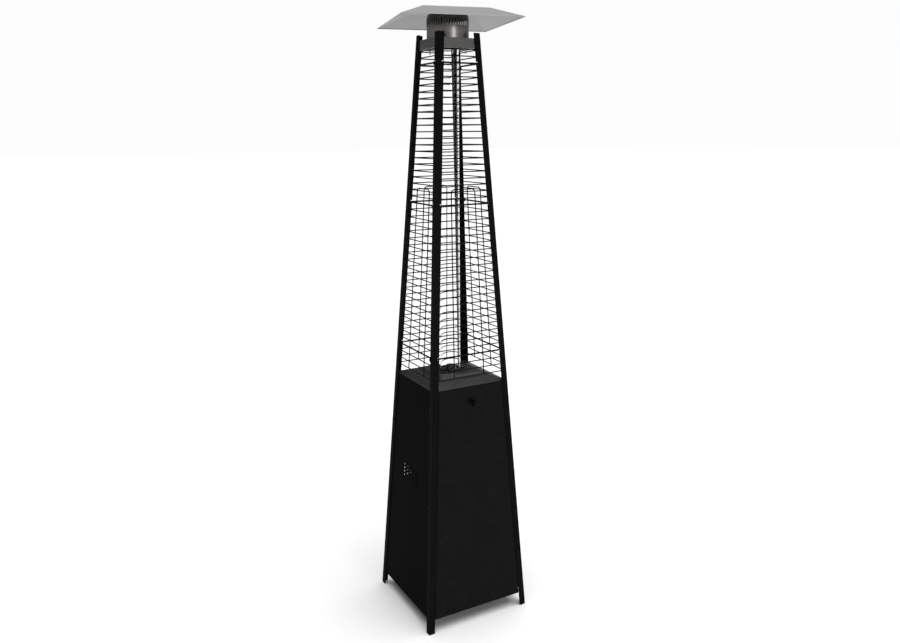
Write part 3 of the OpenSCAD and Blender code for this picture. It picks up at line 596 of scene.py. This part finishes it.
BASE_HALF, TOP_HALF, LEG_HEIGHT = 0.217, 0.082, 2.186
LEAN = math.atan((BASE_HALF - TOP_HALF) / LEG_HEIGHT)


def outward(middle):
    """The outward direction of the leaning face that is nearest to a point."""
    if abs(middle.x) > abs(middle.y):
        flat = Vector((math.copysign(1, middle.x), 0, 0))
    else:
        flat = Vector((0, math.copysign(1, middle.y), 0))
    return flat * math.cos(LEAN) + Vector((0, 0, math.sin(LEAN)))


print("the frame's faces lean", round(math.degrees(LEAN), 2), "degrees")

# %% [markdown]
# Three lengths of screw are enough here. A screw in a sloping face leans with the
# face, and the ones that hold the clips stand upright.

# %% Screws on the frame
def upward(middle):
    return Vector((0, 0, 1))


M5_HEAD_R, M5_HEAD_H, M5_R = 4.75 * MM, 2.8 * MM, 2.5 * MM
M4_HEAD_R, M4_HEAD_H, M4_R = 3.5 * MM, 2.3 * MM, 2.0 * MM
SHEET_SCREW, PLATE_SCREW, CLIP_SCREW = 9 * MM, 6 * MM, 1.8 * MM


def m5_screw(length):
    return pan_head_screw(M5_HEAD_R, M5_HEAD_H, M5_R, length)


def m4_screw(length):
    return pan_head_screw(M4_HEAD_R, M4_HEAD_H, M4_R, length)


screws_on("panel_screws", "panel_screw_heads", m5_screw(SHEET_SCREW), M5_HEAD_H, outward, black_zinc)
screws_on("bracket_screws", "bracket_screw_heads", m5_screw(SHEET_SCREW), M5_HEAD_H, outward, black_zinc)
screws_on("control_screws", "control_screw_heads", m4_screw(PLATE_SCREW), M4_HEAD_H, outward)
screws_on("clip_screws", "clip_screw_heads", m4_screw(CLIP_SCREW), M4_HEAD_H, upward)

# %% [markdown]
# The neck stands on the bracket on four bolts. Each bolt's head lies on the neck's foot, and
# a hexagon nut holds it from below. A nut is a cylinder with six sides whose corners are
# taken off by a wide cone at each end, which a small bevel stands for here.

# %% Neck bolts
FOOT_TOP = 4.7 * MM
BOLT_LENGTH = 18.3 * MM
NUT_TOP = -3.4 * MM
NUT_H = 4 * MM
NUT_CHAMFER = 0.45 * MM


def bolt_with_nut():
    """A bolt whose head points up, with its nut on it."""
    bolt = m5_screw(BOLT_LENGTH)
    bpy.ops.mesh.primitive_cylinder_add(vertices=6, radius=M5_HEAD_R, depth=NUT_H,
                                        location=(0, 0, NUT_TOP - NUT_H / 2))
    nut = bpy.context.object
    bpy.ops.object.transform_apply(location=True)
    edit(nut)
    select_edges(nut, lambda a, b: abs(a.z - b.z) < 1e-6)
    bpy.ops.mesh.bevel(offset=NUT_CHAMFER, segments=2)
    deselect_all()
    return joined("bolt_with_nut", [nut, bolt])


screws_on("neck_screws", "neck_bolts", bolt_with_nut(), FOOT_TOP, upward)

# %% [markdown]
# ## The glass tube
# A cut glass tube is held in a flame until its sharp ends melt round. So the tube is modelled
# from its wall's outline, a tall thin rectangle with its corners bevelled, and spun once
# round the axis. A spin leaves a seam of doubled corners, which are merged.

# %% Glass tube
tube_low, tube_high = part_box("glass_tube")
TUBE_R = (tube_high[0] - tube_low[0]) / 2
TUBE_WALL = 2.8 * MM
TUBE_Z = (tube_low[2], tube_high[2])


def spun(name, outline, steps):
    """A closed outline of (radius, height) corners, spun once round +Z."""
    deselect_all()
    mesh = bpy.data.meshes.new(name)
    sides = [(corner, (corner + 1) % len(outline)) for corner in range(len(outline))]
    mesh.from_pydata([(r, 0, z) for r, z in outline], sides, [])
    piece = bpy.data.objects.new(name, mesh)
    bpy.context.collection.objects.link(piece)
    edit(piece)
    bpy.ops.mesh.select_all(action="SELECT")
    bpy.ops.mesh.spin(steps=steps, angle=2 * math.pi, center=(0, 0, 0), axis=(0, 0, 1))
    bpy.ops.mesh.select_all(action="SELECT")
    bpy.ops.mesh.remove_doubles(threshold=1e-6)
    bpy.ops.mesh.normals_make_consistent(inside=False)
    deselect_all()
    return piece


def rounded_wall(outer, wall, low, high):
    """The outline of a tube's wall with rounded ends."""
    middle, half = outer - wall / 2, wall / 2
    steps = 8
    points = []
    for centre, start in ((high - half, 0), (low + half, math.pi)):
        for step in range(steps + 1):
            angle = start + math.pi * step / steps
            points.append((middle + half * math.cos(angle), centre + half * math.sin(angle)))
    return points


tube = spun("flame_tube", rounded_wall(TUBE_R, TUBE_WALL, *TUBE_Z), 160)
finished(tube, "flame_tube", glass, "stand", "glass", "glass_tube")

# %% [markdown]
# ## The control knob
# The knob is a moulding with a wide skirt, a ring of grip flutes and a raised bar to turn it
# by. The skirt comes first: a flat cylinder with its front edge bevelled.

# %% Control knob
def face_frame(side, along, depth, height):
    """A matrix from a leaning face, with x along it, y inwards and z up it, to the frame."""
    turn = Matrix.Rotation(math.radians(90 * side), 4, "Z")
    shift = Matrix.Translation((0, -BASE_HALF, 0))
    tilt = Matrix.Rotation(-LEAN, 4, "X")
    return turn @ shift @ tilt @ Matrix.Translation((along, depth, height / math.cos(LEAN)))


CONTROL_Z = 868 * MM
KNOB_X = -28 * MM
NEAR = 0.1 * MM


def ring_piece(radius, low, high, vertices):
    """A cylinder that runs from low to high along -Y, with round ends still to come."""
    deselect_all()
    bpy.ops.mesh.primitive_cylinder_add(vertices=vertices, radius=radius, depth=high - low,
                                        location=(0, -(low + high) / 2, 0), rotation=(math.pi / 2, 0, 0))
    piece = bpy.context.object
    bpy.ops.object.transform_apply(location=True, rotation=True, scale=True)
    return piece


SIDES = 72
SKIRT_R, SKIRT_FOOT, SKIRT_TOP, SKIRT_BEVEL = 22 * MM, 3 * MM, 7 * MM, 1.6 * MM
skirt = ring_piece(SKIRT_R, SKIRT_FOOT, SKIRT_TOP, SIDES)
edit(skirt)
select_edges(skirt, lambda a, b: min(-a.y, -b.y) > SKIRT_TOP - NEAR)
bpy.ops.mesh.bevel(offset=SKIRT_BEVEL, segments=3)
deselect_all()
print("knob skirt:", len(skirt.data.polygons), "faces")

# %% [markdown]
# The flutes could be cut with a ring of small cylinders. Here two strips of faces in every
# four are inset and pushed in together, which keeps the mesh small and its edges clean.

# %% The grip and its flutes
GRIP_R, GRIP_TOP, GRIP_BEVEL = 17 * MM, 20 * MM, 1.4 * MM
FLUTE_EDGE, FLUTE_DEPTH = 0.35 * MM, 0.7 * MM


def in_a_flute(centre, normal):
    """Two strips of faces in every four round the grip."""
    angle = math.degrees(math.atan2(centre.z, centre.x))
    strip = round(angle / (360 / SIDES) - 0.5)
    return abs(normal.y) < 0.1 and strip % 4 < 2


grip = ring_piece(GRIP_R, SKIRT_TOP, GRIP_TOP, SIDES)
edit(grip)
select_faces(grip, in_a_flute)
bpy.ops.mesh.inset(thickness=FLUTE_EDGE, depth=-FLUTE_DEPTH, use_individual=False)
select_edges(grip, lambda a, b: min(-a.y, -b.y) > GRIP_TOP - NEAR)
bpy.ops.mesh.bevel(offset=GRIP_BEVEL, segments=3)
deselect_all()
print("knob grip:", len(grip.data.polygons), "faces")

# %% [markdown]
# The bar is a box. The edges of its front and those that lead out to it are bevelled, as a
# mould leaves them, and its back stays sharp, because it is sunk in the grip.

# %% The bar to turn it by
BAR_SIZE, BAR_MIDDLE, BAR_BEVEL = (7.5 * MM, 11 * MM, 39 * MM), 19.5 * MM, 2.2 * MM


def on_the_outside(a, b):
    """An edge of the bar's front, or one that leads out to it."""
    leads_out = abs(a.z - b.z) < 1e-6 and abs(a.x - b.x) < 1e-6
    return max(a.y, b.y) < -BAR_MIDDLE or leads_out


bpy.ops.mesh.primitive_cube_add(size=1, location=(0, -BAR_MIDDLE, 0))
bar = bpy.context.object
bar.scale = BAR_SIZE
bpy.ops.object.transform_apply(location=True, rotation=True, scale=True)
edit(bar)
select_edges(bar, on_the_outside)
bpy.ops.mesh.bevel(offset=BAR_BEVEL, segments=4)
deselect_all()

knob = joined("control_knob_grip", [skirt, grip, bar])
knob.data.transform(face_frame(2, KNOB_X, 0, CONTROL_Z))
finished(knob, "control_knob_grip", black_plastic, "knob", "black_plastic", "control_knob")

# %% [markdown]
# ## The igniter's button
# A red button beside the knob sets off the spark. Its cap is a cylinder with a round edge, and
# its front is inset and pushed in a little, which makes the shallow dish for a thumb.

# %% Igniter button
BUTTON_X, BUTTON_R, BUTTON_BEVEL = 34 * MM, 6 * MM, 1.8 * MM
BUTTON_BACK, BUTTON_FRONT = -12 * MM, 8 * MM
DISH_EDGE, DISH_DEPTH = 1.2 * MM, 0.5 * MM
button = ring_piece(BUTTON_R, BUTTON_BACK, BUTTON_FRONT, 48)
edit(button)
select_edges(button, lambda a, b: min(-a.y, -b.y) > BUTTON_FRONT - NEAR)
bpy.ops.mesh.bevel(offset=BUTTON_BEVEL, segments=4)
select_faces(button, lambda c, n: n.y < -0.95 and -c.y > BUTTON_FRONT - DISH_DEPTH)
bpy.ops.mesh.inset(thickness=DISH_EDGE, depth=-DISH_DEPTH)
deselect_all()
button.data.transform(face_frame(2, BUTTON_X, 0, CONTROL_Z))
finished(button, "igniter_cap", red_plastic, "igniter_push", "red_plastic", "igniter_button")

# %% [markdown]
# ## The hose nozzle
# A hose is pushed over a brass nozzle whose barbs grip it from inside. The barbs could be cones
# set on a pipe. Here they are drawn in one outline, which is spun, so that their skin is whole.

# %% Hose nozzle
NOZZLE_TOP, NOZZLE_FOOT, BORE_R, TIP_R, NECK_R = -8 * MM, -30 * MM, 2.5 * MM, 4.1 * MM, 4.4 * MM
BARBS, BARB_PITCH, BARB_R, WAIST_R = 4, 5 * MM, 5 * MM, 4.2 * MM
FIRST_BARB, BARB_RISE, BARB_LENGTH = 0.5 * MM, 3.6 * MM, 3.9 * MM
barbs = [(BORE_R, NOZZLE_TOP), (BORE_R, NOZZLE_FOOT), (TIP_R, NOZZLE_FOOT)]
for ring in range(BARBS):
    foot = NOZZLE_FOOT + FIRST_BARB + ring * BARB_PITCH
    barbs += [(WAIST_R, foot), (BARB_R, foot + BARB_RISE), (WAIST_R, foot + BARB_LENGTH)]
barbs += [(NECK_R, NOZZLE_TOP)]
nozzle = spun("nozzle", barbs, 40)
print("nozzle:", BARBS, "barbs")

# %% [markdown]
# The nozzle is tightened by the hexagon above it, a cylinder with six sides. Only the edges of
# its two ends are bevelled.

# %% The spanner's hexagon
HEX_R, HEX_H, HEX_Z, HEX_BEVEL = 9.5 * MM, 8 * MM, -4.1 * MM, 0.7 * MM
INLET_DEPTH, INLET_DROP = 32 * MM, 24 * MM
deselect_all()
bpy.ops.mesh.primitive_cylinder_add(vertices=6, radius=HEX_R, depth=HEX_H, location=(0, 0, HEX_Z))
spanner_hex = bpy.context.object
bpy.ops.object.transform_apply(location=True)
edit(spanner_hex)
select_edges(spanner_hex, lambda a, b: abs(a.z - b.z) < 1e-6)
bpy.ops.mesh.bevel(offset=HEX_BEVEL, segments=2)
deselect_all()
inlet = joined("hose_inlet", [nozzle, spanner_hex])
below_the_knob = face_frame(2, KNOB_X, INLET_DEPTH, CONTROL_Z) @ Matrix.Translation((0, 0, -INLET_DROP))
inlet.data.transform(below_the_knob)
finished(inlet, "hose_inlet", brass, "stand", "brass", "gas_inlet")

# %% [markdown]
# ## The reflector's rolled rim
# The sheet's edge is folded down and then rolled back on itself, which makes it safe to touch
# and stiffens it. It shows as a thin bright line round the reflector. A square outline is
# turned into a curve, given a round section, and made a mesh again.

# %% Rolled rim
rim_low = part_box("reflector")[0][2]
RIM_HALF = 210 * MM
RIM_CORNER = 3 * MM
BEAD_R = 1.2 * MM
deselect_all()
bpy.ops.mesh.primitive_plane_add(size=2 * RIM_HALF - 2 * BEAD_R, location=(0, 0, rim_low + BEAD_R))
rim = bpy.context.object
bpy.ops.object.transform_apply(location=True)
edit(rim)
bpy.ops.mesh.select_all(action="SELECT")
bpy.ops.mesh.bevel(offset=RIM_CORNER, segments=4, affect="VERTICES")
bpy.ops.mesh.select_all(action="SELECT")
bpy.ops.mesh.delete(type="ONLY_FACE")
deselect_all()
pick(rim)
bpy.ops.object.convert(target="CURVE")
rim = bpy.context.object
rim.data.bevel_depth = BEAD_R
rim.data.bevel_resolution = 3
bpy.ops.object.convert(target="MESH")
rim = bpy.context.object
rim.data.transform(Matrix.Rotation(REFLECTOR_TURN, 4, "Z"))
finished(rim, "reflector_rolled_rim", reflector_sheet, "stand", "reflector_alu")

# %% [markdown]
# ## The key
# A flat key sits in the lock. Its bow is a plate with a hole for a ring. The bow is a flat
# cylinder whose ends are inset and bridged, which pierces it, and its rim is bevelled.

# %% Key
LOCK_Z = 884 * MM
KEY_TURN = math.radians(25)
BOW_R, BOW_THICK, BOW_WIDTH, BOW_BEVEL = 12 * MM, 2.4 * MM, 7.5 * MM, 0.6 * MM
BOW_Y, BOW_Z = -6.5 * MM - BOW_R, -6 * MM
deselect_all()
bpy.ops.mesh.primitive_cylinder_add(vertices=40, radius=BOW_R, depth=BOW_THICK,
                                    location=(0, BOW_Y, BOW_Z), rotation=(0, math.pi / 2, 0))
bow = bpy.context.object
bpy.ops.object.transform_apply(location=True, rotation=True)
edit(bow)
select_faces(bow, lambda c, n: abs(n.x) > 0.9)
bpy.ops.mesh.inset(thickness=BOW_WIDTH, depth=0)
bpy.ops.mesh.bridge_edge_loops()
bow_middle = Vector((BOW_Y, BOW_Z))
select_edges(bow, lambda a, b: abs(a.x - b.x) < 1e-6 and (a.yz - bow_middle).length > BOW_R - NEAR)
bpy.ops.mesh.bevel(offset=BOW_BEVEL, segments=2)
deselect_all()
print("key bow:", len(bow.data.polygons), "faces")

# %% [markdown]
# Only the blade's shoulder shows between the bow and the lock, so a bevelled box is enough.

# %% The key's blade
BLADE_SIZE, BLADE_Y, BLADE_BEVEL = (2 * MM, 10 * MM, 5 * MM), -4.6 * MM, 0.4 * MM
bpy.ops.mesh.primitive_cube_add(size=1, location=(0, BLADE_Y, 0))
blade = bpy.context.object
blade.scale = BLADE_SIZE
bpy.ops.object.transform_apply(location=True, rotation=True, scale=True)
edit(blade)
select_edges(blade, lambda a, b: abs(a.y - b.y) > BLADE_SIZE[1] / 2)
bpy.ops.mesh.bevel(offset=BLADE_BEVEL, segments=2)
deselect_all()
key = joined("cabinet_key", [blade, bow])
key.data.transform(face_frame(0, 0, 0, LOCK_Z) @ Matrix.Rotation(KEY_TURN, 4, "Y"))
finished(key, "cabinet_key", black_nickel, "lock", "black_nickel", "lock_key")

# %% [markdown]
# ## Floor and light
# The floor is a wide pale plane with hardly any sheen, so that it fades into the pale sky and
# carries only the heater's shadow.

# %% Floor
deselect_all()
bpy.ops.mesh.primitive_plane_add(size=160)
floor = bpy.context.object
floor.name = "floor"
pale = Finish("pale_floor", Roughness=0.9, Specular_IOR_Level=0.1)
pale.set(Base_Color=(0.96, 0.96, 0.96))
dress(floor, pale.material)
print("the floor is", round(floor.dimensions.x), "metres wide")

# %% [markdown]
# The sun stands high and is very soft, so the shadow is faint, and a soft light in front gives
# the bright patch on the steel neck. The sky is pale to the eye and dimmer in reflections, as
# in a studio whose walls are dark behind the camera.

# %% Light
def aimed(kind, name, place, target, strength, **settings):
    deselect_all()
    bpy.ops.object.light_add(type=kind, location=place)
    light = bpy.context.object
    light.name = name
    light.data.energy = strength
    for key, value in settings.items():
        setattr(light.data, key, value)
    way = Vector(target) - Vector(place)
    light.rotation_euler = way.to_track_quat("-Z", "Y").to_euler()
    return light


SUN_STRENGTH, SUN_SPREAD = 2.95, math.radians(70)
FRONT_WATTS, FRONT_SIZE = 28, 0.5
aimed("SUN", "high_soft_sun", (0.35, -0.45, 4), (0, 0, 0), SUN_STRENGTH, angle=SUN_SPREAD)
aimed("AREA", "front_soft_light", (0.3, -4.2, 2.75), (0, 0, 2.0), FRONT_WATTS,
      shape="RECTANGLE", size=FRONT_SIZE, size_y=FRONT_SIZE)
world = bpy.data.worlds.new("studio")
world.use_nodes = True
world.node_tree.nodes.clear()
bpy.context.scene.world = world
SEEN_SKY, FELT_SKY = 0.98, 0.24
sky = Nodes(world.node_tree)
straight = sky.add("ShaderNodeLightPath", output="Is Camera Ray")
through_glass = sky.add("ShaderNodeLightPath", output="Is Transmission Ray")
white = sky.add("ShaderNodeBackground", sockets={"Color": (1, 1, 1), "Strength": SEEN_SKY})
grey = sky.add("ShaderNodeBackground", sockets={"Color": (1, 1, 1), "Strength": FELT_SKY})
either = straight.math("MAXIMUM", straight, through_glass)
mixed_sky = sky.add("ShaderNodeMixShader", sockets={0: either, 1: grey, 2: white})
sky.add("ShaderNodeOutputWorld", sockets={"Surface": mixed_sky})
bpy.context.scene.view_settings.view_transform = "Standard"
print("sun, soft light and sky are set")
